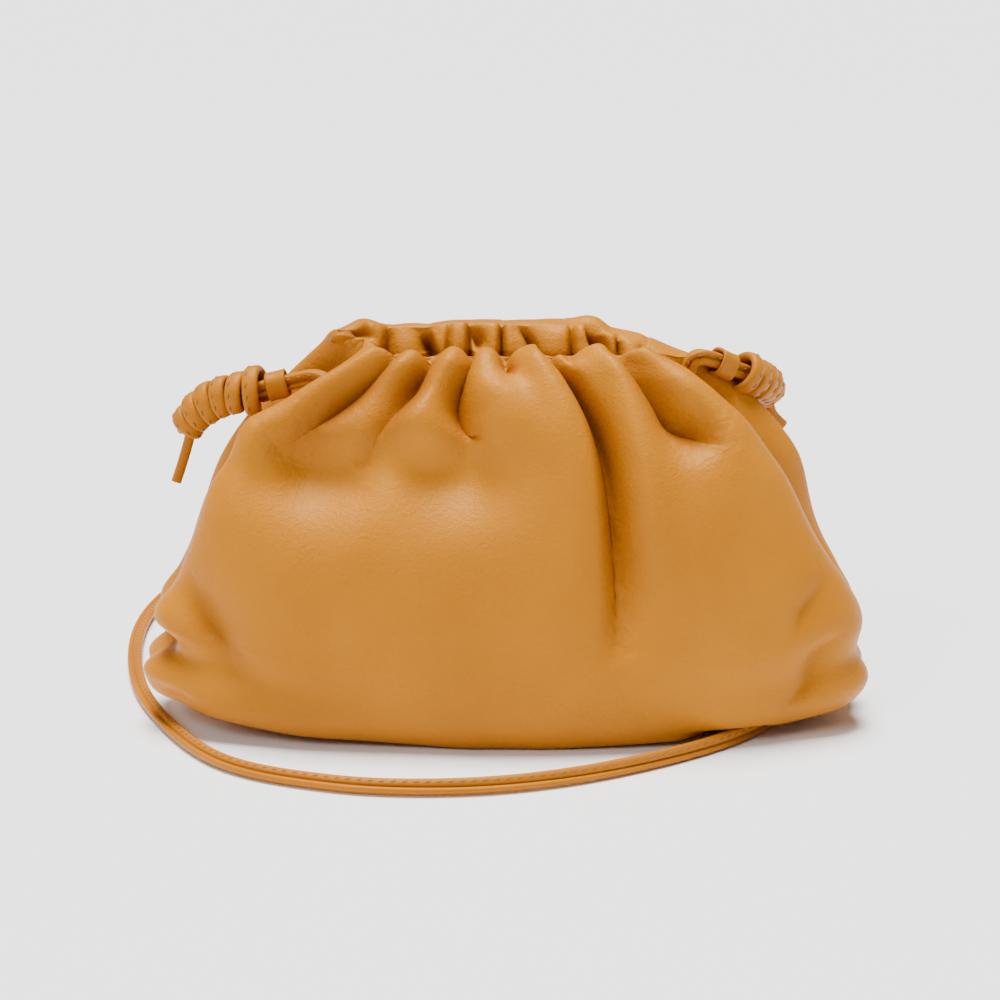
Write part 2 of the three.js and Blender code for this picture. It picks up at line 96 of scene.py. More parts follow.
# The tails: the way that their edge looks, and the share of the section at their first points
TAIL_FACES = (0.3, -1.0, 0.2)
TAIL_START = (0.75, 0.9, 0.97)

# Stitches, in millimetres where nothing else is said. Place: from the middle, of the width. Slant: the way
# sideways, of the way forward. Lead: how far before and behind the strap's direction is taken. Sink: into
# the leather, on the strap's upper face and elsewhere. Spread and rise: of the radius.
STITCH_PITCH = 3.3
STITCH_LENGTH = 2.0
STITCH_RADIUS = 0.25
STITCH_PLACE = 0.2
STITCH_SLANT = 0.18
STITCH_LEAD = 0.5
TOP_STITCH_SINK = 0.12
STITCH_SINK = 0.05
STITCH_SPREAD = 1.2
STITCH_RISE = 0.8
STITCH_SIDES = 6
# Rings of a stitch: place, of its length, size, of its radius, and lift in millimetres
STITCH_RINGS = (
    (-0.5, 0.35, -0.22),
    (-0.36, 0.9, 0.0),
    (0, 1.1, 0.06),
    (0.36, 0.9, 0.0),
    (0.5, 0.35, -0.22),
)

# The photograph's view, in degrees and metres, the sensor in millimetres. FIELD is its width at the bag.
CAMERA_ELEVATION = 15.0
CAMERA_DISTANCE = 0.9
CAMERA_TARGET = (-0.0015, 0.0, 0.068)
SENSOR = 36.0
FIELD = 0.303

# The stage, in metres. Suns: name, where from, strength, and spread in degrees.
FLOOR_SIZE = 40
FLOOR_COLOUR = (0.93, 0.925, 0.92)
WORLD_STRENGTH = 0.24
SUNS = (("top", (-0.04, 0.09, 1.0), 8.8, 32), ("front", (-0.80, -1.0, 1.0), 1.15, 25))

# Leather: shine, its tint, the painted crease shade's colour and how soon it shows, the grain's strength
SPECULAR = 0.30
SPECULAR_TINT = (1.0, 0.66, 0.28, 1)
PAINTED_SHADE_COLOUR = (0.50, 0.34, 0.25, 1)
PAINTED_SHADE_GAIN = 3.2
GRAIN_STRENGTH = 0.48

# Sections of the two panels, from the hem in the mouth over the lip and down to the middle of the base.
# The columns in their order are down: share of the way; left, right: half widths, of HALF_WIDTH; middle,
# edge_left, edge_right: heights, of LIP_HEIGHT; depth, side: distance from the middle plane at the middle
# and at the side, of HALF_DEPTH; tuck: how far the side seam sinks between the panels, of HALF_DEPTH.
FRONT_SECTIONS = (
    (0.00, 0.33, 0.35, 0.925, 0.91, 0.90, 0.0, 0.0, 0.02),
    (0.04, 0.345, 0.365, 0.965, 0.965, 0.965, 0.0, 0.0, 0.03),
    (0.07, 0.355, 0.375, 0.98, 0.99, 0.985, 0.09, 0.09, 0.07),
    (0.10, 0.40, 0.43, 0.97, 0.965, 0.945, 0.19, 0.17, 0.2),
    (0.17, 0.54, 0.54, 0.915, 0.89, 0.885, 0.33, 0.25, 0.36),
    (0.27, 0.69, 0.65, 0.82, 0.785, 0.785, 0.52, 0.29, 0.42),
    (0.40, 0.785, 0.765, 0.66, 0.665, 0.665, 0.75, 0.30, 0.38),
    (0.53, 0.85, 0.85, 0.47, 0.52, 0.52, 0.92, 0.29, 0.27),
    (0.64, 0.915, 0.94, 0.315, 0.385, 0.385, 1.0, 0.25, 0.15),
    (0.72, 0.965, 0.98, 0.215, 0.30, 0.285, 1.01, 0.22, 0.07),
    (0.78, 0.915, 0.965, 0.13, 0.235, 0.21, 0.985, 0.20, 0.05),
    (0.84, 1.0, 1.0, 0.06, 0.162, 0.14, 0.93, 0.20, 0.05),
    (0.90, 0.965, 0.95, 0.012, 0.10, 0.07, 0.8, 0.15, 0.06),
    (0.95, 0.85, 0.87, 0.0, 0.10, 0.045, 0.48, 0.10, 0.05),
    (1.00, 0.78, 0.8, 0.0, 0.09, 0.04, 0.0, 0.0, 0.0),
)
BACK_SECTIONS = (
    (0.00, 0.41, 0.43, 0.925, 0.90, 0.86, 0.0, 0.0, 0.02),
    (0.04, 0.43, 0.45, 0.97, 0.95, 0.91, 0.0, 0.0, 0.03),
    (0.07, 0.46, 0.465, 1.04, 1.02, 0.95, 0.13, 0.11, 0.07),
    (0.10, 0.50, 0.51, 1.04, 0.985, 0.955, 0.27, 0.19, 0.2),
    (0.17, 0.60, 0.61, 0.955, 0.90, 0.895, 0.42, 0.26, 0.37),
    (0.27, 0.71, 0.73, 0.825, 0.79, 0.79, 0.56, 0.29, 0.43),
    (0.40, 0.79, 0.825, 0.66, 0.67, 0.67, 0.76, 0.30, 0.39),
    (0.53, 0.85, 0.87, 0.47, 0.52, 0.52, 0.91, 0.29, 0.27),
    (0.64, 0.915, 0.935, 0.315, 0.385, 0.385, 0.98, 0.25, 0.15),
    (0.72, 0.965, 0.975, 0.215, 0.30, 0.285, 0.99, 0.22, 0.07),
    (0.78, 0.92, 0.965, 0.13, 0.235, 0.21, 0.965, 0.20, 0.05),
    (0.84, 1.0, 1.0, 0.06, 0.162, 0.14, 0.91, 0.20, 0.05),
    (0.90, 0.965, 0.95, 0.012, 0.10, 0.07, 0.78, 0.15, 0.06),
    (0.95, 0.85, 0.87, 0.0, 0.10, 0.045, 0.48, 0.10, 0.05),
    (1.00, 0.78, 0.8, 0.0, 0.09, 0.04, 0.0, 0.0, 0.0),
)

# Folds. at: points of the fold's line, x of HALF_WIDTH and z of LIP_HEIGHT. depth: at each point, of
# HALF_DEPTH, a ridge above 0 and a crease below. left, right: how far it spreads on each side of its line
# as it runs down, of HALF_WIDTH, at its first and last point. sharp: 1 for a crease, 2 for a round form.
# lean: how far the leather on one side hangs over the line, of HALF_WIDTH, from the right above 0 and
# from the left below. crinkle: fine creases across the fold, in millimetres.
Fold = namedtuple("Fold", "at depth left right sharp lean crinkle")
FRONT_FOLDS = (
    # The fingers of the gather, from the left, and the hollows between them
    Fold(((-.33, .985), (-.43, .93), (-.55, .86), (-.68, .77)),
         (.05, .09, .10, .04), (.035, .06), (.03, .06), 2, 0, 0),
    Fold(((-.298, .98), (-.375, .915), (-.47, .85), (-.56, .80), (-.66, .75)),
         (-.12, -.27, -.30, -.19, -.02), (.025, .09), (.035, .11), 1.4, .010, .5),
    Fold(((-.25, .985), (-.31, .94), (-.41, .87), (-.50, .79)),
         (.06, .11, .12, .04), (.03, .06), (.035, .07), 2, 0, 0),
    Fold(((-.20, .98), (-.235, .92), (-.29, .86), (-.35, .80), (-.40, .73)),
         (-.12, -.27, -.28, -.18, -.02), (.025, .08), (.03, .10), 1.4, .010, .5),
    Fold(((-.13, .985), (-.175, .93), (-.24, .86), (-.31, .79)),
         (.07, .12, .13, .03), (.03, .06), (.03, .07), 2, 0, 0),
    Fold(((-.078, .985), (-.085, .94), (-.105, .90), (-.112, .865), (-.098, .83), (-.06, .80)),
         (-.10, -.20, -.31, -.34, -.24, -.02), (.024, .07), (.012, .06), 1.2, .034, 0),
    Fold(((-.04, .99), (-.042, .94), (-.035, .885), (-.005, .84)),
         (.05, .09, .15, .07), (.022, .05), (.025, .09), 2, 0, 0),
    Fold(((-.002, .99), (.006, .96), (.032, .935)), (-.13, -.16, -.01), (.012, .02), (.012, .03), 1.2, 0, 0),
    Fold(((.036, .99), (.095, .94), (.165, .85), (.22, .74), (.25, .62)),
         (.05, .12, .13, .10, .03), (.035, .09), (.03, .035), 2, 0, 0),
    Fold(((.095, .985), (.155, .943), (.222, .857), (.258, .765), (.278, .66), (.292, .53), (.298, .41),
          (.298, .31), (.295, .22)),
         (-.10, -.20, -.27, -.29, -.27, -.24, -.19, -.12, -.01), (.012, .050), (.016, .085), 2.5, -.012, .6),
    Fold(((.11, .99), (.15, .965), (.19, .94)), (.03, .04, .0), (.03, .03), (.03, .03), 2, 0, 0),
    Fold(((.235, .99), (.30, .93), (.355, .80), (.385, .65), (.40, .48)),
         (.05, .12, .14, .11, .03), (.03, .07), (.03, .08), 2, 0, 0),
    Fold(((.285, .98), (.335, .945), (.39, .885), (.44, .825), (.51, .795), (.60, .755)),
         (-.09, -.15, -.19, -.23, -.20, -.01), (.018, .05), (.045, .08), 1.5, -.014, .5),
    Fold(((.345, .985), (.46, .91), (.57, .82), (.67, .69)),
         (.06, .12, .12, .04), (.035, .06), (.035, .06), 2, 0, 0),
    Fold(((.171, .985), (.19, .95)), (-.09, -.01), (.02, .02), (.02, .02), 1.4, 0, 0),
    # Broad forms of the belly
    Fold(((-.68, .77), (-.57, .735), (-.45, .73), (-.31, .755), (-.19, .735), (-.09, .745), (-.02, .79)),
         (-.03, -.25, -.24, -.17, -.24, -.26, -.03), (.13, .14), (.06, .065), 2, 0, 0),
    Fold(((-.68, .80), (-.60, .785)), (.10, .10), (.07, .07), (.07, .07), 2, 0, 0),
    Fold(((-.48, .815), (-.38, .80)), (.10, .10), (.08, .08), (.08, .08), 2, 0, 0),
    Fold(((-.28, .83), (-.16, .80)), (.12, .11), (.085, .08), (.085, .08), 2, 0, 0),
    Fold(((.02, .83), (.10, .80)), (.08, .06), (.07, .08), (.07, .08), 2, 0, 0),
    Fold(((-.42, .62), (-.42, .45), (-.415, .25)), (.022, .030, .01), (.03, .04), (.05, .06), 2, 0, 0),
    Fold(((-.68, .60), (-.62, .50)), (.06, .03), (.12, .12), (.12, .12), 2, 0, 0),
    Fold(((-.02, .60), (.05, .48)), (.03, .02), (.16, .16), (.16, .16), 2, 0, 0),
    Fold(((.53, .71), (.55, .52), (.54, .32)), (.05, .06, .01), (.06, .09), (.07, .10), 2, 0, 0),
    Fold(((.36, .44), (.42, .26)), (-.03, -.015), (.06, .08), (.08, .10), 2, 0, 0),
    Fold(((-.86, .45), (-.84, .36), (-.79, .28), (-.71, .15)),
         (-.02, -.13, -.15, -.02), (.05, .05), (.06, .09), 1.6, 0, 0),
    Fold(((-.96, .235), (-.93, .23), (-.89, .215)), (-.07, -.07, -.01), (.03, .03), (.03, .03), 1.4, 0, 0),
    Fold(((-.97, .13), (-.90, .10), (-.84, .075)), (-.03, -.06, -.01), (.03, .03), (.03, .03), 1.5, 0, 0),
    Fold(((.88, .43), (.82, .36), (.78, .28)), (-.02, -.08, -.02), (.04, .04), (.04, .05), 1.4, 0, 0),
    Fold(((.93, .29), (.86, .23), (.82, .15), (.74, .08)),
         (-.02, -.09, -.08, -.01), (.04, .05), (.05, .05), 1.3, 0, 0),
)
BACK_FOLDS = (
    Fold(((-.43, .98), (-.50, .90), (-.62, .78)), (-.06, -.16, -.02), (.02, .05), (.02, .06), 1.15, 0, .3),
    Fold(((-.33, .99), (-.37, .90), (-.44, .76)), (-.05, -.17, -.02), (.02, .05), (.02, .06), 1.15, .01, .4),
    Fold(((-.205, 1.0), (-.22, .93), (-.25, .80), (-.27, .70)),
         (-.06, -.18, -.12, -.01), (.02, .05), (.02, .06), 1.15, -.01, .4),
    Fold(((-.10, 1.0), (-.09, .94), (-.10, .84)), (-.05, -.15, -.02), (.015, .04), (.015, .04), 1.15, 0, .3),
    Fold(((-.005, 1.0), (.0, .93), (.02, .78), (.01, .62)),
         (-.06, -.19, -.14, -.01), (.015, .05), (.015, .05), 1.1, .015, .3),
    Fold(((.07, 1.0), (.09, .94), (.13, .82)), (-.05, -.15, -.02), (.015, .04), (.015, .04), 1.15, 0, .3),
    Fold(((.185, 1.0), (.22, .93), (.27, .78), (.29, .66)),
         (-.06, -.18, -.12, -.01), (.02, .05), (.02, .06), 1.15, -.012, .4),
    Fold(((.285, 1.0), (.34, .93), (.43, .78)), (-.06, -.17, -.02), (.02, .05), (.02, .06), 1.15, 0, .4),
    Fold(((.39, .98), (.48, .90), (.63, .77)), (-.06, -.16, -.02), (.02, .05), (.02, .06), 1.15, 0, .4),
    Fold(((.225, 1.10), (.235, 1.02), (.24, .96)), (.07, .06, .01), (.07, .06), (.07, .06), 2, 0, 0),
    Fold(((-.40, 1.10), (-.40, 1.02), (-.42, .96)), (.12, .10, .01), (.08, .06), (.06, .06), 2, 0, 0),
    Fold(((-.38, .99), (-.43, .92), (-.53, .76)), (.03, .11, .03), (.04, .06), (.04, .06), 2, 0, 0),
    Fold(((-.27, 1.0), (-.30, .92), (-.35, .76)), (.02, .09, .03), (.04, .06), (.04, .06), 2, 0, 0),
    Fold(((-.15, 1.0), (-.15, .92), (-.17, .76)), (.02, .10, .03), (.03, .06), (.03, .06), 2, 0, 0),
    Fold(((-.05, 1.0), (-.04, .92), (-.05, .76)), (.02, .08, .03), (.03, .05), (.03, .05), 2, 0, 0),
    Fold(((.035, 1.0), (.05, .92), (.08, .76)), (.02, .08, .03), (.03, .05), (.03, .05), 2, 0, 0),
    Fold(((.13, 1.0), (.16, .92), (.2, .76)), (.02, .10, .03), (.04, .05), (.04, .05), 2, 0, 0),
    Fold(((.235, 1.0), (.28, .92), (.35, .74)), (.02, .11, .03), (.03, .05), (.03, .05), 2, 0, 0),
    Fold(((.35, 1.0), (.43, .92), (.54, .76)), (.02, .10, .03), (.03, .05), (.03, .05), 2, 0, 0),
    Fold(((-.62, .62), (-.55, .48)), (.05, .03), (.12, .12), (.12, .12), 2, 0, 0),
    Fold(((.50, .64), (.48, .50)), (.05, .03), (.12, .12), (.12, .12), 2, 0, 0),
    Fold(((.0, .58), (.0, .45)), (.03, .02), (.16, .16), (.16, .16), 2, 0, 0),
    Fold(((-.86, .45), (-.84, .34), (-.78, .24)), (-.02, -.08, -.01), (.05, .06), (.06, .07), 1.4, 0, 0),
    Fold(((.88, .44), (.84, .33), (.80, .22)), (-.02, -.08, -.01), (.05, .05), (.05, .06), 1.4, 0, 0),
)
# The face of the back lip that looks at the mouth
BACK_LIP_FOLDS = (
    Fold(((-.48, 1.00), (-.41, 1.02), (-.36, 1.005)),
         (-.06, -.20, -.04), (.018, .016), (.014, .012), 2.2, 0, 0),
    Fold(((-.45, .98), (-.49, .93), (-.55, .87)), (-.03, -.10, -.03), (.03, .04), (.03, .04), 1.6, 0, .5),
    Fold(((-.315, 1.05), (-.322, 1.0), (-.326, .90)),
         (-.02, -.10, -.14), (.010, .012), (.020, .024), 1.3, 0, 0),
    Fold(((-.212, 1.03), (-.206, 1.0), (-.196, .96), (-.196, .90)),
         (-.02, -.20, -.22, -.14), (.026, .022), (.010, .012), 1.7, 0, 0),
    Fold(((-.150, 1.05), (-.153, 1.01), (-.157, .90)),
         (-.01, -.07, -.10), (.007, .009), (.007, .010), 1.2, 0, 0),
    Fold(((-.099, 1.07), (-.098, 1.0), (-.096, .90)),
         (-.05, -.14, -.16), (.005, .008), (.010, .012), 1.1, 0, 0),
    Fold(((-.086, 1.035), (-.074, 1.005), (-.070, .975)),
         (-.03, -.16, -.05), (.012, .012), (.020, .018), 2.0, 0, 0),
    Fold(((-.010, 1.07), (-.010, 1.0), (-.008, .90)),
         (-.05, -.15, -.17), (.005, .007), (.008, .010), 1.1, 0, 0),
    Fold(((.040, 1.04), (.062, 1.01), (.076, .975), (.080, .92)),
         (-.01, -.13, -.16, -.06), (.010, .012), (.012, .012), 1.3, 0, 0),
    Fold(((.178, 1.07), (.181, 1.0), (.184, .90)),
         (-.03, -.11, -.14), (.006, .008), (.010, .012), 1.1, 0, 0),
    Fold(((.226, 1.06), (.232, 1.02), (.250, .99), (.272, .96)),
         (-.03, -.20, -.32, -.12), (.012, .016), (.030, .022), 2.2, 0, 0),
    Fold(((.300, 1.05), (.312, 1.0), (.318, .90)),
         (-.02, -.11, -.15), (.008, .010), (.010, .012), 1.2, 0, 0),
    Fold(((.37, 1.0), (.40, .90)), (-.05, -.08), (.012, .014), (.02, .03), 1.3, 0, 0),
    Fold(((-.235, 1.08), (-.235, 1.0)), (-.12, -.01), (.05, .05), (.05, .05), 2, 0, 0),
    Fold(((.050, 1.08), (.050, 1.0)), (-.08, -.01), (.03, .04), (.03, .04), 2, 0, 0),
    Fold(((-.405, 1.10), (-.39, 1.0)), (.22, .08), (.10, .06), (.055, .05), 2, 0, 0),
    Fold(((-.12, 1.10), (-.12, 1.0)), (.05, .02), (.05, .05), (.05, .05), 2, 0, 0),
    Fold(((.235, 1.10), (.235, .99)), (.20, .05), (.06, .05), (.06, .05), 2, 0, 0),
    Fold(((.135, 1.0), (.135, .94)), (.03, .03), (.03, .03), (.03, .03), 2, 0, 0),
)
# What the folds add up to at each point of a panel
RELIEF_KEYS = ("depth", "shift_x", "shift_z", "crinkle", "crease", "near", "wrinkle")
# Points to each span of a fold's line, and how far a round fold and a crease reach, in spreads
FOLD_STEPS = 14
ROUND_REACH = 3.0
CREASE_REACH = 5.5
# Within this distance of a crease, of HALF_WIDTH, the leather keeps its sharp form, once it is this deep
CREASE_NEAR = 0.05
CREASE_DEPTH = 0.06
# The painted shade line in a crease: its width as a share of the crease's, and how fast it fades
DARK_WIDTH = 0.8
DARK_POWER = 1.3
# A side that leans starts this far from the line, and hangs over in full where the crease is this deep
LEAN_START = 0.010
LEAN_DEPTH = 0.2
# Elsewhere the folds are smoothed over this many cells of the grid
BLUR_CELLS = 4

# Fine creases: waves along and across the fold in millimetres, and how much they warp and rise
WARP_WAVE = (5, 5)
WARP_RISE = 1.5
LONG_WAVE = (2.6, 7)
SHORT_WAVE = (1.7, 5)
SHORT_RISE = 0.6
CRINKLE_RISE = 0.3
# Shares of the fold's length between which they set in and calm down, and how far they calm
CRINKLE_IN = (0.3, 0.75)
CRINKLE_OUT = (0.95, 1.0)
CRINKLE_CALM = 0.4

# Slow swells of the leather: waves along x, z and y in millimetres, rise, of SWELL_RISE, and noise seed
Swell = namedtuple("Swell", "x z y rise seed")
SWELLS = (Swell(34, 30, 40, 0.9, 7), Swell(15, 17, 20, 0.28, 8))
SWELL_RISE = 0.8

# Rows and columns of a panel, and at which shares of the rows it reaches which shares of the way down
GRID = {"front": (262, 378), "back": (220, 340)}
ROW_PACE = ((0, 0.30, 0.62, 1), (0, 0.14, 0.50, 1))
# Shares of the way down and of the width between which the folds come in and go out
FADE_IN = {"front": (0.02, 0.075), "back": (0.06, 0.10)}
FADE_OUT = (0.9, 0.97)
LIP_FADE_IN = (0.0, 0.02)
LIP_FADE_OUT = (0.055, 0.085)
SIDE_FADE = (0.90, 1.0)

# The strap's way from the left knot round the bag to the right one, in millimetres, near its solid's
STRAP_ROUTE = (
    (-80, 8.7, 101.4), (-79, 19, 100), (-76.5, 31, 86), (-75.5, 40, 60), (-74, 46, 30), (-69, 56, 9),
    (-56, 74, STRAP_GROUND), (-38, 98, STRAP_GROUND), (-34, 128, STRAP_GROUND), (-53, 154, STRAP_GROUND),
    (-84, 160, STRAP_GROUND), (-110, 140, STRAP_GROUND), (-121, 98, STRAP_GROUND), (-120, 49, STRAP_GROUND),
    (-109, 0, STRAP_GROUND), (-84.5, -48, STRAP_GROUND), (-51, -68, STRAP_GROUND), (-15, -72, STRAP_GROUND),
    (20, -63, STRAP_GROUND), (54.5, -42, STRAP_GROUND), (77, -19, STRAP_GROUND), (94, 14, STRAP_GROUND),
    (103, 52, STRAP_GROUND), (98, 92, STRAP_GROUND), (82, 110, STRAP_GROUND), (64, 102, STRAP_GROUND),
    (57, 82, STRAP_GROUND), (59, 62, 7), (62, 52, 26), (65, 48, 56), (69, 43, 82), (78.4, 32.6, 94.6),
)
# How far the strap stands up from lying flat, in degrees, at shares of its length
STRAP_ROLL = (
    (0, 90), (0.2, 60), (0.32, 12), (0.47, 20), (0.56, 40), (0.64, 72), (0.70, 88), (0.82, 60), (1, 90),
)

# The strap's hardware at each side of the mouth, in millimetres. strands, knot and tail: points of their
# lines. keeper: its place on the strands. advance: how far along the knot's line each turn has come.
# radius: the knot's outer radius by turn. start: where on the ring the first turn begins. flat: the
# knot's depth as a share of its height. band: the wound strap's width. near: which way round the strands'
# sewn face looks.
HARDWARE_COLUMNS = "strands keeper knot advance radius turns start flat band near tail tail_width"
Hardware = namedtuple("Hardware", HARDWARE_COLUMNS)
LEFT_HARDWARE = Hardware(
    strands=((-52, -1.0, 104.0), (-57, 0.8, 105.8), (-62, 1.6, 105.0), (-68.4, 1.7, 103.3),
             (-75, 2.0, 101.8), (-80, 2.8, 100.8)),
    keeper=(-68.4, 1.7, 103.3),
    knot=((-70.2, 1.6, 102.9), (-77.6, 2.2, 101.2), (-83.6, 3.4, 99.8), (-89.0, 4.6, 97.4),
          (-93.6, 5.6, 93.6), (-96.2, 6.3, 89.6), (-96.8, 6.6, 86.2)),
    advance=((0, 0.07), (1, 0.215), (2, 0.365), (3, 0.51), (4, 0.65), (5, 0.785), (6, 0.905), (6.4, 0.94)),
    radius=((0, 5.2), (0.3, 7.2), (0.9, 7.3), (1.4, 6.5), (2.5, 6.3), (4, 6.1), (5, 5.8), (6, 5.2),
            (6.4, 4.2)),
    turns=6.4, start=math.radians(150), flat=0.92, band=4.9, near=1,
    tail=((-95.2, 5.4, 89.0), (-95.8, 5.4, 85.5), (-97.9, 5.4, 78.6), (-100.0, 5.2, 72.4)), tail_width=3.1)
RIGHT_HARDWARE = Hardware(
    strands=((54.6, 4.6, 103.0), (55.6, 4.6, 108.9), (58.2, 4.9, 111.2), (62.4, 6.8, 110.1),
             (66.4, 9.0, 107.9), (71.4, 12.2, 105.2), (75.0, 15.6, 103.0)),
    keeper=(65.9, 8.8, 108.3),
    knot=((68.8, 10.4, 106.5), (72.9, 13.6, 104.1), (76.6, 18.0, 101.6), (79.4, 22.8, 99.4),
          (81.3, 27.4, 97.0), (82.4, 31.4, 93.6)),
    advance=((0, 0.08), (1, 0.24), (2, 0.42), (3, 0.59), (4, 0.75), (5, 0.91), (5.4, 0.97)),
    radius=((0, 4.9), (0.3, 7.0), (0.8, 7.1), (1.4, 6.5), (3, 6.3), (4.4, 5.8), (5.4, 4.6)),
    turns=5.4, start=math.radians(-60), flat=0.92, band=4.9, near=-1,
    tail=((82.0, 30.6, 91.8), (82.9, 31.4, 88.2), (84.8, 32.6, 85.5), (87.0, 34.0, 83.2)), tail_width=3.2)


def smooth(value, low, high):
    """0 below low and 1 above high, with an even rise between them."""
    u = np.clip((np.asarray(value, float) - low) / (high - low), 0, 1)
    return u * u * (3 - 2 * u)


def unit(rows):
    """The rows' directions, each of length 1."""
    return rows / np.linalg.norm(rows, axis=-1, keepdims=True)


def bell(away, width, power=2.0):
    """1 on a line, and less and less away from it."""
    return np.exp(-((away / width) ** power))


def noise(x, y, z, seed=0):
    """Smooth value noise between -1 and 1, the same on each run."""
    x, y, z = np.broadcast_arrays(np.asarray(x, float), np.asarray(y, float), np.asarray(z, float))
    xi, yi, zi = np.floor(x).astype(np.int64), np.floor(y).astype(np.int64), np.floor(z).astype(np.int64)
    fx, fy, fz = (v - w for v, w in zip((x, y, z), (xi, yi, zi)))
    fx, fy, fz = (f * f * f * (f * (f * 6 - 15) + 10) for f in (fx, fy, fz))
    total = 0.0
    for dx in (0, 1):
        for dy in (0, 1):
            for dz in (0, 1):
                n = (xi + dx) * 374761393 + (yi + dy) * 668265263 + (zi + dz) * 2147483647 + seed * 974711
                n = (n ^ (n >> 13)) * 1274126177
                n = (n ^ (n >> 16)) & 0xFFFFFF
                level = n / float(0xFFFFFF) * 2 - 1
                weight = (fx if dx else 1 - fx) * (fy if dy else 1 - fy) * (fz if dz else 1 - fz)
                total = total + level * weight
    return total


def through(points, steps):
    """A Catmull-Rom curve through rows of numbers, steps points to each span."""
    rows = np.array(points, float)
    rows = np.vstack([2 * rows[0] - rows[1], rows, 2 * rows[-1] - rows[-2]])
    u = (np.arange(steps) / steps)[:, None]
    parts = []
    for a, b, c, d in zip(rows[:-3], rows[1:-2], rows[2:-1], rows[3:]):
        bend = (2 * a - 5 * b + 4 * c - d) * u**2 + (3 * b - a - 3 * c + d) * u**3
        parts.append(0.5 * (2 * b + (c - a) * u + bend))
    parts.append(rows[-2][None])
    return np.vstack(parts)


def lengths_along(path):
    """How far along a path each of its points lies."""
    return np.concatenate([[0], np.cumsum(np.linalg.norm(np.diff(path, axis=0), axis=1))])


def sampled(rows, at, places):
    """The rows that a line has at some places, where places gives the place of each of its rows."""
    return np.stack([np.interp(at, places, column) for column in rows.T], axis=-1)


def resample(path, step):
    """A path's points at even steps, and their shares of its length."""
    along = lengths_along(path)
    places = np.linspace(0, along[-1], int(round(along[-1] / step)) + 1)
    return sampled(path, places, along), places / along[-1]


def smooth_rows(rows, reach):
    """The mean of each row and of reach rows on each side of it."""
    kernel = np.ones(2 * reach + 1) / (2 * reach + 1)
    padded = np.pad(rows, ((reach, reach), (0, 0)), mode="edge")
    return np.stack([np.convolve(column, kernel, mode="valid") for column in padded.T], axis=1)


def frames(axis, up=UP):
    """Directions along, above and beside each point of a line."""
    along = unit(np.gradient(axis, axis=0))
    above = unit(np.array(up) - along * (along @ np.array(up))[:, None])
    return along, above, np.cross(along, above)


def section_at(table, down):
    """The section table's columns at these shares of the way down, on curves that don't overshoot."""
    rows = np.array(table, float)
    x, y = rows[:, 0], rows[:, 1:]
    slope = np.diff(y, axis=0) / np.diff(x)[:, None]
    tangent = np.zeros_like(y)
    before, after = slope[:-1], slope[1:]
    both = np.where(before + after == 0, 1, before + after)
    tangent[1:-1] = np.where(before * after > 0, 2 * before * after / both, 0)
    tangent[0], tangent[-1] = slope[0], slope[-1]
    i = np.clip(np.searchsorted(x, down, side="right") - 1, 0, len(x) - 2)
    h = (x[i + 1] - x[i])[:, None]
    u = (down - x[i])[:, None] / h
    start = y[i] * (1 + 2 * u) * (1 - u) ** 2 + tangent[i] * h * u * (1 - u) ** 2
    end = y[i + 1] * u * u * (3 - 2 * u) + tangent[i + 1] * h * u * u * (u - 1)
    return (start + end).T


def own_panel(table, sign, down, across):
    """A panel's smooth form as its own table gives it. sign: -1 for the front and 1 for the back."""
    columns = section_at(table, down)
    left, right, middle, edge_left, edge_right, depth, side, tuck = (column[:, None] for column in columns)
    a = np.abs(across)[None, :]
    on_left = across[None, :] < 0
    width = np.where(on_left, left, right) * HALF_WIDTH
    near = 1 - smooth(a, 0.0, MIDDLE_BLEND)
    width = width + ((left + right) / 2 * HALF_WIDTH - width) * near
    edge = np.where(on_left, edge_left, edge_right)
    arch = np.minimum(a / SIDE_FROM, 1) * math.pi / 2
    turn = np.maximum((a - SIDE_FROM) / (1 - SIDE_FROM), 0) * SIDE_TURN
    turned = ((1 - np.cos(turn)) / (1 - math.cos(SIDE_TURN))) ** TUCK_POWER
    x = width * np.sin(arch) ** ARCH_WIDTH_POWER - tuck * HALF_DEPTH * turned
    depth = side + (depth - side) * np.maximum(np.cos(arch), 0) ** ARCH_DEPTH_POWER
    gap = MOUTH_GAP / 2 * (1 - down)[:, None]
    y = (gap + depth * HALF_DEPTH) * (1 - np.sin(turn) / math.sin(SIDE_TURN))
    z = (middle + (edge - middle) * np.minimum(x / width, 1) ** EDGE_POWER) * LIP_HEIGHT
    return np.stack([np.sign(across)[None, :] * x, sign * y, z], axis=-1)


def panel_base(panel, down, across):
    """The smooth form of a panel. At the seam both panels run into the mean of the two."""
    front = own_panel(FRONT_SECTIONS, -1, down, across)
    back = own_panel(BACK_SECTIONS, 1, down, across)
    own, other = (front, back) if panel == "front" else (back, front)
    shared = (smooth(np.abs(across), SIDE_FROM, 1) / 2)[None, :]
    points = own.copy()
    points[..., 0] += (other[..., 0] - own[..., 0]) * shared
    points[..., 2] += (other[..., 2] - own[..., 2]) * shared
    lifted = REST_PRESS * (1 - smooth(down, *REST_FADE))[:, None]
    points[..., 2] = np.maximum(points[..., 2] - REST_PRESS, 0) + lifted
    return points


def outward(points, panel):
    """The panel's directions out of the pouch."""
    normal = np.cross(np.gradient(points, axis=0), np.gradient(points, axis=1))
    normal /= np.maximum(np.linalg.norm(normal, axis=-1, keepdims=True), 1e-9)
    return normal if panel == "front" else -normal


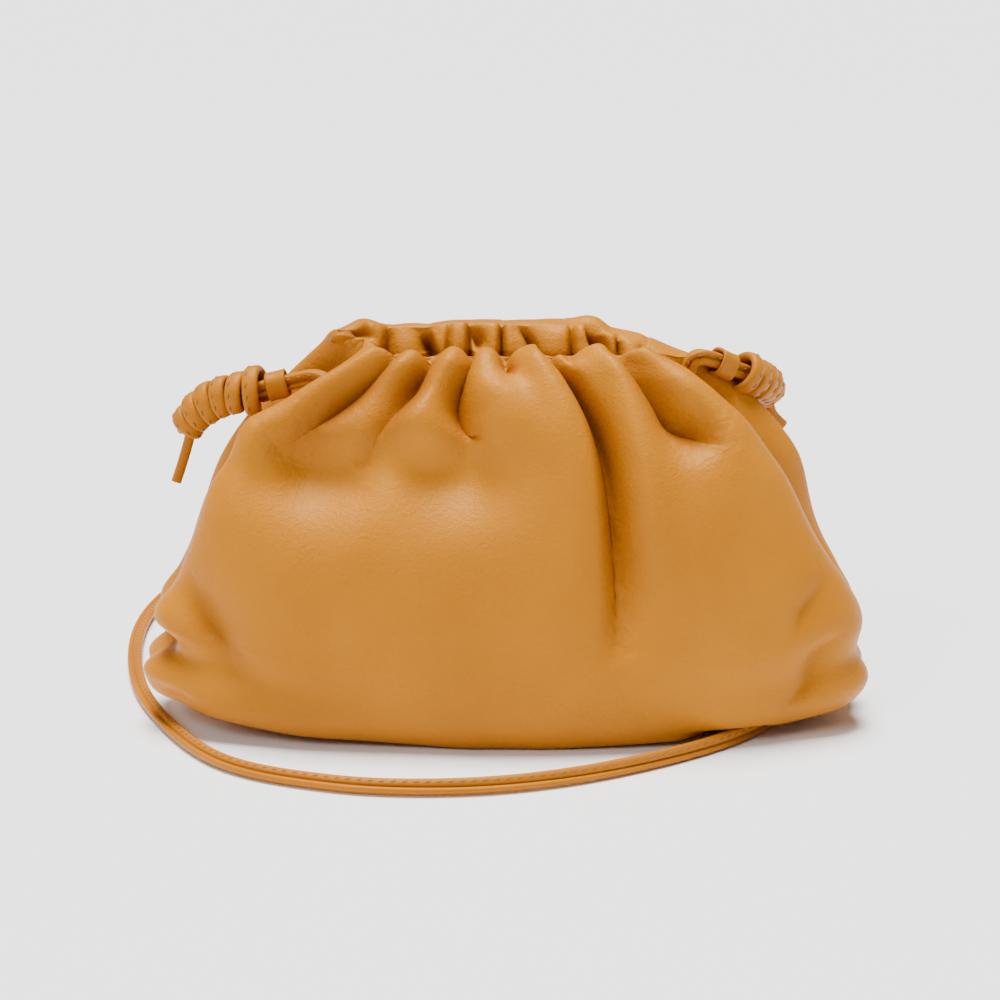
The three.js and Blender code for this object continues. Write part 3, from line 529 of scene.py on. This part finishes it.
def press_fold(fold, x, height, out):
    """Adds one fold's depth, shift and crinkle at places x, height, all in shares of HALF_WIDTH."""
    ratio = LIP_HEIGHT / HALF_WIDTH
    line = through([(px, pz * ratio, level) for (px, pz), level in zip(fold.at, fold.depth)], FOLD_STEPS)
    run = unit(np.gradient(line[:, :2], axis=0))
    along = lengths_along(line[:, :2])
    reach = (ROUND_REACH if fold.sharp >= 2 else CREASE_REACH) * max(fold.left + fold.right)
    low, high = line[:, :2].min(axis=0) - reach, line[:, :2].max(axis=0) + reach
    near = (x > low[0]) & (x < high[0]) & (height > low[1]) & (height < high[1])
    if not near.any():
        return
    px, pz = x[near], height[near]
    best = np.full(px.shape, FAR)
    index = np.zeros(px.shape, int)
    for i, (lx, lz) in enumerate(line[:, :2]):
        away = (px - lx) ** 2 + (pz - lz) ** 2
        closer = away < best
        best[closer] = away[closer]
        index[closer] = i
    # From the nearest point on to the foot of the perpendicular on its tangent
    dx, dz = px - line[index, 0], pz - line[index, 1]
    tx, tz = run[index, 0], run[index, 1]
    spacing = along[-1] / len(line)
    inside = (index > 0) & (index < len(line) - 1)
    slide = np.where(inside, np.clip(dx * tx + dz * tz, -spacing, spacing), 0)
    dx, dz = dx - slide * tx, dz - slide * tz
    away = np.hypot(dx, dz)
    right_side = tx * dz - tz * dx > 0
    place = along[index] + slide
    share = np.clip(place / along[-1], 0, 1)
    level = np.interp(place, along, line[:, 2])
    width = np.where(right_side, fold.right[0], fold.left[0]) * (1 - share)
    width = width + np.where(right_side, fold.right[1], fold.left[1]) * share
    out["depth"][near] += level * bell(away, width, fold.sharp)
    if fold.sharp != 2:
        narrow = np.minimum(width, CREASE_NEAR)
        # Painted shade: a dark line along the crease, which the leather multiplies into its colour
        dark = np.clip(-level, 0, 1) * bell(away, DARK_WIDTH * narrow, DARK_POWER)
        out["crease"][near] = np.maximum(out["crease"][near], dark)
        close = bell(away, CREASE_NEAR) * smooth(-level, 0.0, CREASE_DEPTH)
        out["near"][near] = np.maximum(out["near"][near], close)
    if fold.lean:
        leads = right_side if fold.lean > 0 else ~right_side
        pull = abs(fold.lean) * np.clip(-level / LEAN_DEPTH, 0, 1)
        amount = np.where(leads, pull * smooth(away, 0.0, LEAN_START) * bell(away, CREASE_NEAR), 0)
        toward = np.where(away > 1e-6, 1 / np.maximum(away, 1e-6), 0)
        out["shift_x"][near] -= amount * dx * toward
        out["shift_z"][near] -= amount * dz * toward
    if fold.crinkle:
        run_mm, across_mm = place * HALF_WIDTH, away * HALF_WIDTH * np.where(right_side, 1, -1)
        warp = noise(run_mm / WARP_WAVE[0], across_mm / WARP_WAVE[1], 3) * WARP_RISE
        ripple = noise(run_mm / LONG_WAVE[0] + warp, across_mm / LONG_WAVE[1], 1)
        ripple = ripple + SHORT_RISE * noise(run_mm / SHORT_WAVE[0], across_mm / SHORT_WAVE[1] + warp, 2)
        end = smooth(share, *CRINKLE_IN) * (1 - smooth(share, *CRINKLE_OUT) * CRINKLE_CALM)
        beyond = np.maximum(place - along[-1], 0)
        spread = bell(away, 0.9 * width + 0.02) * end * bell(beyond, CREASE_NEAR)
        out["crinkle"][near] += fold.crinkle * CRINKLE_RISE * ripple * spread
        out["wrinkle"][near] = np.maximum(out["wrinkle"][near], spread * min(1.0, fold.crinkle * 2))


def blurred(field, reach):
    """The field smoothed over the grid, reach cells each way."""
    steps = np.arange(-3 * reach, 3 * reach + 1)
    kernel = np.exp(-(steps / reach) ** 2 / 2)
    kernel /= kernel.sum()
    for axis in (0, 1):
        pad = [(0, 0), (0, 0)]
        pad[axis] = (3 * reach, 3 * reach)
        wide = np.pad(field, pad, mode="edge")
        total = np.zeros_like(field)
        size = field.shape[axis]
        for offset, share in enumerate(kernel):
            part = wide[offset:offset + size] if axis == 0 else wide[:, offset:offset + size]
            total += share * part
        field = total
    return field


def relief(folds, x, height):
    """What a list of folds adds up to, smoothed where no crease is near."""
    out = {key: np.zeros_like(x) for key in RELIEF_KEYS}
    for fold in folds:
        press_fold(fold, x, height, out)
    near = np.clip(out["near"], 0, 1)
    out["depth"] = out["depth"] * near + blurred(out["depth"], BLUR_CELLS) * (1 - near)
    return out


def panel_points(panel):
    """The finished points of a panel, and each one's painted crease shade and wrinkling."""
    row_count, column_count = GRID[panel]
    down = np.interp(np.linspace(0, 1, row_count), *ROW_PACE)
    across = np.linspace(-1, 1, column_count)
    base = panel_base(panel, down, across)
    normal = outward(base, panel)
    x_mm, y_mm, z_mm = (base[..., k] for k in range(3))
    x, height = x_mm / HALF_WIDTH, z_mm / HALF_WIDTH
    out = relief(FRONT_FOLDS if panel == "front" else BACK_FOLDS, x, height)
    on_panel = smooth(down, *FADE_IN[panel])[:, None] * (1 - smooth(down, *FADE_OUT))[:, None]
    off_seam = (1 - smooth(np.abs(across), *SIDE_FADE))[None, :]
    weight = on_panel * off_seam
    if panel == "back":
        inner = relief(BACK_LIP_FOLDS, x, height)
        lip = (smooth(down, *LIP_FADE_IN) * (1 - smooth(down, *LIP_FADE_OUT)))[:, None] * off_seam
        for key in out:
            out[key] = out[key] * weight + inner[key] * lip
        weight = np.ones_like(x)
    swell = sum(noise(x_mm / s.x, z_mm / s.z, y_mm / s.y, s.seed) * s.rise for s in SWELLS)
    lift = (out["depth"] * HALF_DEPTH + out["crinkle"]) * weight + swell * SWELL_RISE * on_panel
    points = base + normal * lift[..., None]
    points[..., 0] += out["shift_x"] * weight * HALF_WIDTH
    points[..., 2] += out["shift_z"] * weight * HALF_WIDTH
    lift_over_strap(points, down)
    return points, out["crease"] * weight, out["wrinkle"] * weight


def lift_over_strap(points, down):
    """The underside rises where it lies over the strap."""
    line = through(STRAP_ROUTE, 6)
    line = line[line[:, 2] < STRAP_WIDTH]
    rows = down > BASE_FROM
    part = points[rows]
    away = np.full(part.shape[:2], FAR)
    for lx, ly, _ in line:
        away = np.minimum(away, np.hypot(part[..., 0] - lx, part[..., 1] - ly))
    bed = STRAP_BED * (1 - smooth(away, *BED_FADE))
    part[..., 2] = np.where(part[..., 2] < STRAP_BED, np.maximum(part[..., 2], bed), part[..., 2])
    points[rows] = part


def mesh_object(name, verts, faces, material):
    """A smooth shaded mesh from verts in millimetres."""
    mesh = bpy.data.meshes.new(name)
    mesh.from_pydata((np.asarray(verts, float) * MM).tolist(), [], faces)
    mesh.polygons.foreach_set("use_smooth", [True] * len(mesh.polygons))
    mesh.update()
    obj = bpy.data.objects.new(name, mesh)
    bpy.context.scene.collection.objects.link(obj)
    obj.data.materials.append(material)
    return obj


def grid_faces(rows, columns, flip=False, wrap=False):
    """Quads between the rows and columns of a grid. wrap joins its last column to its first."""
    faces = []
    last = columns if wrap else columns - 1
    for r in range(rows - 1):
        for c in range(last):
            n = (c + 1) % columns
            face = (r * columns + c, (r + 1) * columns + c, (r + 1) * columns + n, r * columns + n)
            faces.append(face[::-1] if flip else face)
    return faces


def shifted(faces, by):
    """Faces whose verts come after this many others."""
    return [tuple(v + by for v in face) for face in faces]


def leather(name, light, dark, roughness, grain):
    """Nappa leather: a fine pebbled grain, soft colour clouds, and creases with painted shade and fine
    bumps.
    """
    material = bpy.data.materials.new(name)
    material.use_nodes = True
    nodes, links = material.node_tree.nodes, material.node_tree.links
    shader = nodes["Principled BSDF"]
    shader.inputs["Specular IOR Level"].default_value = SPECULAR
    shader.inputs["Specular Tint"].default_value = SPECULAR_TINT
    place = nodes.new("ShaderNodeTexCoord")

    def add(kind, inputs):
        node = nodes.new(kind)
        for key, value in inputs.items():
            node.inputs[key].default_value = value
        if kind.startswith("ShaderNodeTex"):
            links.new(place.outputs["Object"], node.inputs["Vector"])
        return node

    def attribute(key):
        node = nodes.new("ShaderNodeAttribute")
        node.attribute_name = key
        return node.outputs["Fac"]

    clouds = add("ShaderNodeTexNoise", {"Scale": 22, "Detail": 4})
    ramp = nodes.new("ShaderNodeValToRGB")
    for element, position, colour in zip(ramp.color_ramp.elements, (0.3, 0.7), (dark, light)):
        element.position = position
        element.color = (*colour, 1)
    links.new(clouds.outputs["Fac"], ramp.inputs["Fac"])

    # Painted shade: the colour is multiplied darker where the crease mask is set
    painted_shade_mix = nodes.new("ShaderNodeMix")
    painted_shade_mix.data_type = "RGBA"
    painted_shade_mix.blend_type = "MULTIPLY"
    painted_shade_mix.inputs["B"].default_value = PAINTED_SHADE_COLOUR
    links.new(attribute("crease"), painted_shade_mix.inputs["Factor"])
    links.new(ramp.outputs["Color"], painted_shade_mix.inputs["A"])
    links.new(painted_shade_mix.outputs["Result"], shader.inputs["Base Color"])

    folds = add("ShaderNodeTexNoise", {"Scale": 210, "Detail": 3, "Distortion": 0.6})
    folds.noise_type = "RIDGED_MULTIFRACTAL"
    folds_bump = add("ShaderNodeBump", {"Distance": 0.0006})
    links.new(attribute("wrinkle"), folds_bump.inputs["Strength"])
    links.new(folds.outputs["Fac"], folds_bump.inputs["Height"])

    pebble = add("ShaderNodeTexNoise", {"Scale": 620, "Detail": 5, "Roughness": 0.6})
    rough = add("ShaderNodeMapRange", {"To Min": roughness - 0.06, "To Max": roughness + 0.08})
    links.new(pebble.outputs["Fac"], rough.inputs["Value"])
    links.new(rough.outputs["Result"], shader.inputs["Roughness"])
    pebble_bump = add("ShaderNodeBump", {"Strength": GRAIN_STRENGTH * grain, "Distance": 0.0005})
    links.new(pebble.outputs["Fac"], pebble_bump.inputs["Height"])
    links.new(folds_bump.outputs["Normal"], pebble_bump.inputs["Normal"])

    pores = add("ShaderNodeTexVoronoi", {"Scale": 1500})
    pores.feature = "SMOOTH_F1"
    pore_bump = add("ShaderNodeBump", {"Strength": GRAIN_STRENGTH * grain, "Distance": 0.0002})
    links.new(pores.outputs["Distance"], pore_bump.inputs["Height"])
    links.new(pebble_bump.outputs["Normal"], pore_bump.inputs["Normal"])
    links.new(pore_bump.outputs["Normal"], shader.inputs["Normal"])
    return material


def plain(name, colour, roughness):
    """A material of one colour."""
    material = bpy.data.materials.new(name)
    material.use_nodes = True
    shader = material.node_tree.nodes["Principled BSDF"]
    shader.inputs["Base Color"].default_value = (*colour, 1)
    shader.inputs["Roughness"].default_value = roughness
    return material


body_leather = leather("body_leather", (0.48, 0.169, 0.003), (0.40, 0.135, 0.003), 0.46, 1.0)
strap_leather = leather("strap_leather", (0.42, 0.142, 0.003), (0.36, 0.116, 0.003), 0.47, 0.6)
thread = plain("thread", (0.27, 0.088, 0.004), 0.7)


def build_panel(panel):
    """One side of the pouch, with the painted shade and wrinkling of its creases for the leather to show."""
    points, crease, wrinkle = panel_points(panel)
    rows, columns = points.shape[:2]
    faces = grid_faces(rows, columns, flip=panel == "back")
    obj = mesh_object(f"pouch_{panel}", points.reshape(-1, 3), faces, body_leather)
    # The crease mask is stored, scaled by a gain, for the leather to darken its colour with painted shade
    for name, level in (("crease", crease * PAINTED_SHADE_GAIN), ("wrinkle", wrinkle)):
        layer = obj.data.attributes.new(name, "FLOAT", "POINT")
        layer.data.foreach_set("value", np.clip(level.reshape(-1), 0, 1).astype(np.float32))
    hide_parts("pouch_body")
    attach(obj, "root")


def grooved_section():
    """The strap's outline as (across, out) pairs: a strip with a groove near the middle of each face."""
    groove = ((-0.42, 0.86), (-0.31, 0.64), (-0.23, 0.28), (-0.14, 0.28), (-0.06, 0.64), (0.05, 0.88))
    face = ((-1.0, 0.0), (-0.94, 0.58), (-0.78, 0.93), (-0.60, 0.98), *groove, (0.3, 1.0), (0.55, 0.98),
            (0.78, 0.92), (0.93, 0.58), (1.0, 0.0))
    back = tuple((across, -out) for across, out in face[-2:0:-1])
    return np.array([(across * STRAP_WIDTH / 2, out * STRAP_THICKNESS / 2) for across, out in face + back])


def rounded_section(width, across_power=0.7, out_power=0.8, sides=18):
    """The strap's outline where it is wound or hangs free: a strip of this width with rounded edges."""
    turn = np.linspace(0, 2 * math.pi, sides, endpoint=False)
    across = np.sign(np.cos(turn)) * np.abs(np.cos(turn)) ** across_power
    rise = np.sign(np.sin(turn)) * np.abs(np.sin(turn)) ** out_power
    return np.stack([-across * width / 2, rise * STRAP_THICKNESS / 2], axis=1)


def sweep(path, side, section):
    """Verts and faces of a section run along a path, and the directions of its width and thickness."""
    run = unit(np.gradient(path, axis=0))
    side = unit(side - run * (side * run).sum(axis=1, keepdims=True))
    out = np.cross(side, run)
    section = np.broadcast_to(section, (len(path), *section.shape[-2:]))
    verts = path[:, None] + side[:, None] * section[..., 0:1] + out[:, None] * section[..., 1:2]
    count = section.shape[1]
    faces = grid_faces(len(path), count, wrap=True)
    faces.append(tuple(range(count)))
    faces.append(tuple(range((len(path) - 1) * count, len(path) * count))[::-1])
    return verts.reshape(-1, 3), faces, side, out


def stitches(path, side, out, width, sink=STITCH_SINK):
    """Verts and faces of small slanted stitches along a strap of this width."""
    along = lengths_along(path)
    verts, faces = [], []
    for place in np.arange(STITCH_PITCH, along[-1] - STITCH_PITCH, STITCH_PITCH):
        centre, up, beside = (sampled(rows, place, along) for rows in (path, out, side))
        lead = sampled(path, place + STITCH_LEAD, along) - sampled(path, place - STITCH_LEAD, along)
        lead = unit(unit(lead) + beside * STITCH_SLANT)
        third = np.cross(lead, up)
        start = len(verts)
        for share, size, lift in STITCH_RINGS:
            height = STRAP_THICKNESS / 2 - sink + lift
            middle = centre + beside * STITCH_PLACE * width + up * height + lead * share * STITCH_LENGTH
            for k in range(STITCH_SIDES):
                turn = 2 * math.pi * k / STITCH_SIDES
                ring = third * math.cos(turn) * STITCH_SPREAD + up * math.sin(turn) * STITCH_RISE
                verts.append(middle + ring * STITCH_RADIUS * size)
        faces += shifted(grid_faces(len(STITCH_RINGS), STITCH_SIDES, flip=True, wrap=True), start)
        faces.append(tuple(range(start, start + STITCH_SIDES)))
        faces.append(tuple(range(len(verts) - STITCH_SIDES, len(verts)))[::-1])
    return verts, faces


def with_stitches(name, verts, faces, sewn, sewn_faces):
    """A strap leather object with its thread."""
    all_faces = list(faces) + shifted(sewn_faces, len(verts))
    obj = mesh_object(name, np.vstack([verts, np.array(sewn)]), all_faces, strap_leather)
    obj.data.materials.append(thread)
    obj.data.polygons.foreach_set("material_index", [0] * len(faces) + [1] * len(sewn_faces))
    return obj


def build_strap():
    """The shoulder strap from knot to knot, which rests on the ground by its roll."""
    path, share = resample(through(STRAP_ROUTE, 20), step=1.8)
    roll = np.radians(np.interp(share, *zip(*STRAP_ROLL)))
    low = STRAP_WIDTH / 2 * np.sin(roll) + STRAP_THICKNESS / 2 * np.cos(roll) + STRAP_CLEARANCE
    on_ground = 1 - smooth(path[:, 2], STRAP_GROUND, STRAP_GROUND + STRAP_RISE)
    path[:, 2] += (low - STRAP_GROUND) * on_ground
    run = unit(np.gradient(path, axis=0))
    # Where the strap falls steeply its level direction is taken from its neighbours
    level = unit(smooth_rows(np.cross(run, UP), LEVEL_REACH))
    steep = np.cross(level, run)
    side = level * -np.cos(roll)[:, None] + steep * np.sin(roll)[:, None]
    verts, faces, side, out = sweep(path, side, grooved_section())
    top, top_faces = stitches(path, side, out, STRAP_WIDTH, TOP_STITCH_SINK)
    under, under_faces = stitches(path, side, -out, STRAP_WIDTH)
    obj = with_stitches("strap_whole", verts, faces, top + under, top_faces + shifted(under_faces, len(top)))
    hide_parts("strap")
    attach(obj, "root")


def build_knot(side, hardware):
    """The strap wound round itself: an open first turn, then turns that lie close and narrow to the end."""
    axis, _ = resample(through(hardware.knot, 16), step=0.4)
    turn = np.arange(int(TURN_STEPS * hardware.turns) + 1) / TURN_STEPS
    place = np.interp(turn, *zip(*hardware.advance)) * (len(axis) - 1)
    along, above, beside = frames(axis)
    order = np.arange(len(axis))
    centre, forward, high, wide = (sampled(rows, place, order) for rows in (axis, along, above, beside))
    angle = hardware.start - 2 * math.pi * turn
    radius = np.interp(turn, *zip(*hardware.radius)) - STRAP_THICKNESS / 2
    radius = radius * (1 + KNOT_WOBBLE * np.sin(angle * WOBBLE_PACE + 1))
    arm = high * radius[:, None] * np.cos(angle)[:, None]
    arm += wide * (radius * hardware.flat)[:, None] * np.sin(angle)[:, None]
    path = centre + arm
    verts, faces, across, out = sweep(path, forward, rounded_section(hardware.band))
    sewn, sewn_faces = stitches(path, across, out, hardware.band)
    obj = with_stitches(f"knot_wraps_{side}", verts, faces, sewn, sewn_faces)
    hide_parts(f"knot_{side}")
    finish_strap_piece(obj)

    tail, _ = resample(through(hardware.tail, 12), step=0.8)
    _, _, out = frames(tail, TAIL_FACES)
    size = np.ones(len(tail))
    size[:len(TAIL_START)] = TAIL_START
    section = rounded_section(hardware.tail_width)[None] * size[:, None, None]
    verts, faces, _, _ = sweep(tail, out, section)
    obj = mesh_object(f"knot_tail_{side}", verts, faces, strap_leather)
    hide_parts(f"tail_{side}")
    finish_strap_piece(obj)


def build_strands(side, hardware):
    """Two thicknesses of the strap, side by side on edge, from the gather through the keeper to the knot."""
    path, _ = resample(through(hardware.strands, 14), step=0.9)
    _, above, beside = frames(path)
    verts, faces, sewn, sewn_faces = [], [], [], []
    for shift, lift in STRANDS:
        line = path + beside * shift * STRAP_THICKNESS * hardware.near + above * lift
        one, its_faces, _, _ = sweep(line, above * hardware.near, grooved_section())
        faces += shifted(its_faces, len(verts))
        verts += list(one)
        if shift < 0:
            sewn, sewn_faces = stitches(line, above, -beside * hardware.near, STRAP_WIDTH)
    obj = with_stitches(f"strands_{side}", np.array(verts), faces, sewn, sewn_faces)
    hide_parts(f"strap_loop_{side}")
    finish_strap_piece(obj)


def build_keeper(side, hardware):
    """A flat leather ring round the strands, its rims turned a little outward."""
    path, _ = resample(through(hardware.strands, 14), step=0.4)
    near = int(np.argmin(np.linalg.norm(path - np.array(hardware.keeper), axis=1)))
    forward, high, wide = (rows[near] for rows in frames(path))
    half, wall = KEEPER_LENGTH / 2, KEEPER_WALL
    # The wall's outline as (advance, lift) pairs
    rim = ((-half, 0.35), (-half + 0.35, 0.02), (0, 0.12), (half - 0.35, 0.02), (half, 0.35),
           (half + 0.05, 0.75), (half - 0.3, wall + 0.12), (half - 0.9, wall), (0, wall - 0.05),
           (-half + 0.9, wall), (-half + 0.3, wall + 0.12), (-half - 0.05, 0.75))
    verts = []
    for k in range(KEEPER_SIDES):
        angle = 2 * math.pi * k / KEEPER_SIDES
        across = math.copysign(abs(math.cos(angle)) ** KEEPER_ROUND, math.cos(angle))
        rise = math.copysign(abs(math.sin(angle)) ** KEEPER_ROUND, math.sin(angle))
        for advance, lift in rim:
            arm = wide * across * (KEEPER_HALF_DEPTH + lift) + high * rise * (KEEPER_HALF_HEIGHT + lift)
            verts.append(path[near] + forward * advance + arm)
    ring = len(rim)
    faces = []
    for k in range(KEEPER_SIDES):
        for j in range(ring):
            n, m = (k + 1) % KEEPER_SIDES, (j + 1) % ring
            faces.append((k * ring + j, n * ring + j, n * ring + m, k * ring + m))
    obj = mesh_object(f"keeper_ring_{side}", verts, faces, strap_leather)
    outward_normals(obj)
    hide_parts(f"keeper_{side}")
    finish_strap_piece(obj)


def outward_normals(obj):
    """Turns each face of a closed piece outward."""
    mesh = bmesh.new()
    mesh.from_mesh(obj.data)
    bmesh.ops.recalc_face_normals(mesh, faces=mesh.faces)
    mesh.to_mesh(obj.data)
    mesh.free()


def finish_strap_piece(obj):
    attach(obj, "root")


def build_camera():
    elevation = math.radians(CAMERA_ELEVATION)
    back = Vector((0, -math.cos(elevation), math.sin(elevation)))
    camera = bpy.data.cameras.new("camera")
    camera.sensor_width = SENSOR
    camera.lens = SENSOR * CAMERA_DISTANCE / FIELD
    obj = bpy.data.objects.new("camera", camera)
    obj.location = Vector(CAMERA_TARGET) + back * CAMERA_DISTANCE
    obj.rotation_euler = (-back).to_track_quat("-Z", "Y").to_euler()
    bpy.context.scene.collection.objects.link(obj)
    bpy.context.scene.camera = obj


def sun(name, place, strength, spread):
    light = bpy.data.lights.new(name, "SUN")
    light.energy = strength
    light.angle = math.radians(spread)
    obj = bpy.data.objects.new(name, light)
    obj.location = place
    obj.rotation_euler = Vector(place).to_track_quat("Z", "Y").to_euler()
    bpy.context.scene.collection.objects.link(obj)


def build_stage():
    bpy.ops.mesh.primitive_plane_add(size=FLOOR_SIZE)
    floor = bpy.context.object
    floor.name = "floor"
    floor.data.materials.append(plain("floor_white", FLOOR_COLOUR, 0.7))
    world = bpy.data.worlds.new("studio")
    bpy.context.scene.world = world
    world.use_nodes = True
    sky = world.node_tree.nodes["Background"]
    sky.inputs["Color"].default_value = (1, 1, 1, 1)
    sky.inputs["Strength"].default_value = WORLD_STRENGTH
    for name, place, strength, spread in SUNS:
        sun(name, place, strength, spread)


build_camera()
build_strap()
for panel_name in ("front", "back"):
    build_panel(panel_name)
for side_name, side_hardware in (("left", LEFT_HARDWARE), ("right", RIGHT_HARDWARE)):
    build_strands(side_name, side_hardware)
    build_keeper(side_name, side_hardware)
    build_knot(side_name, side_hardware)
build_stage()
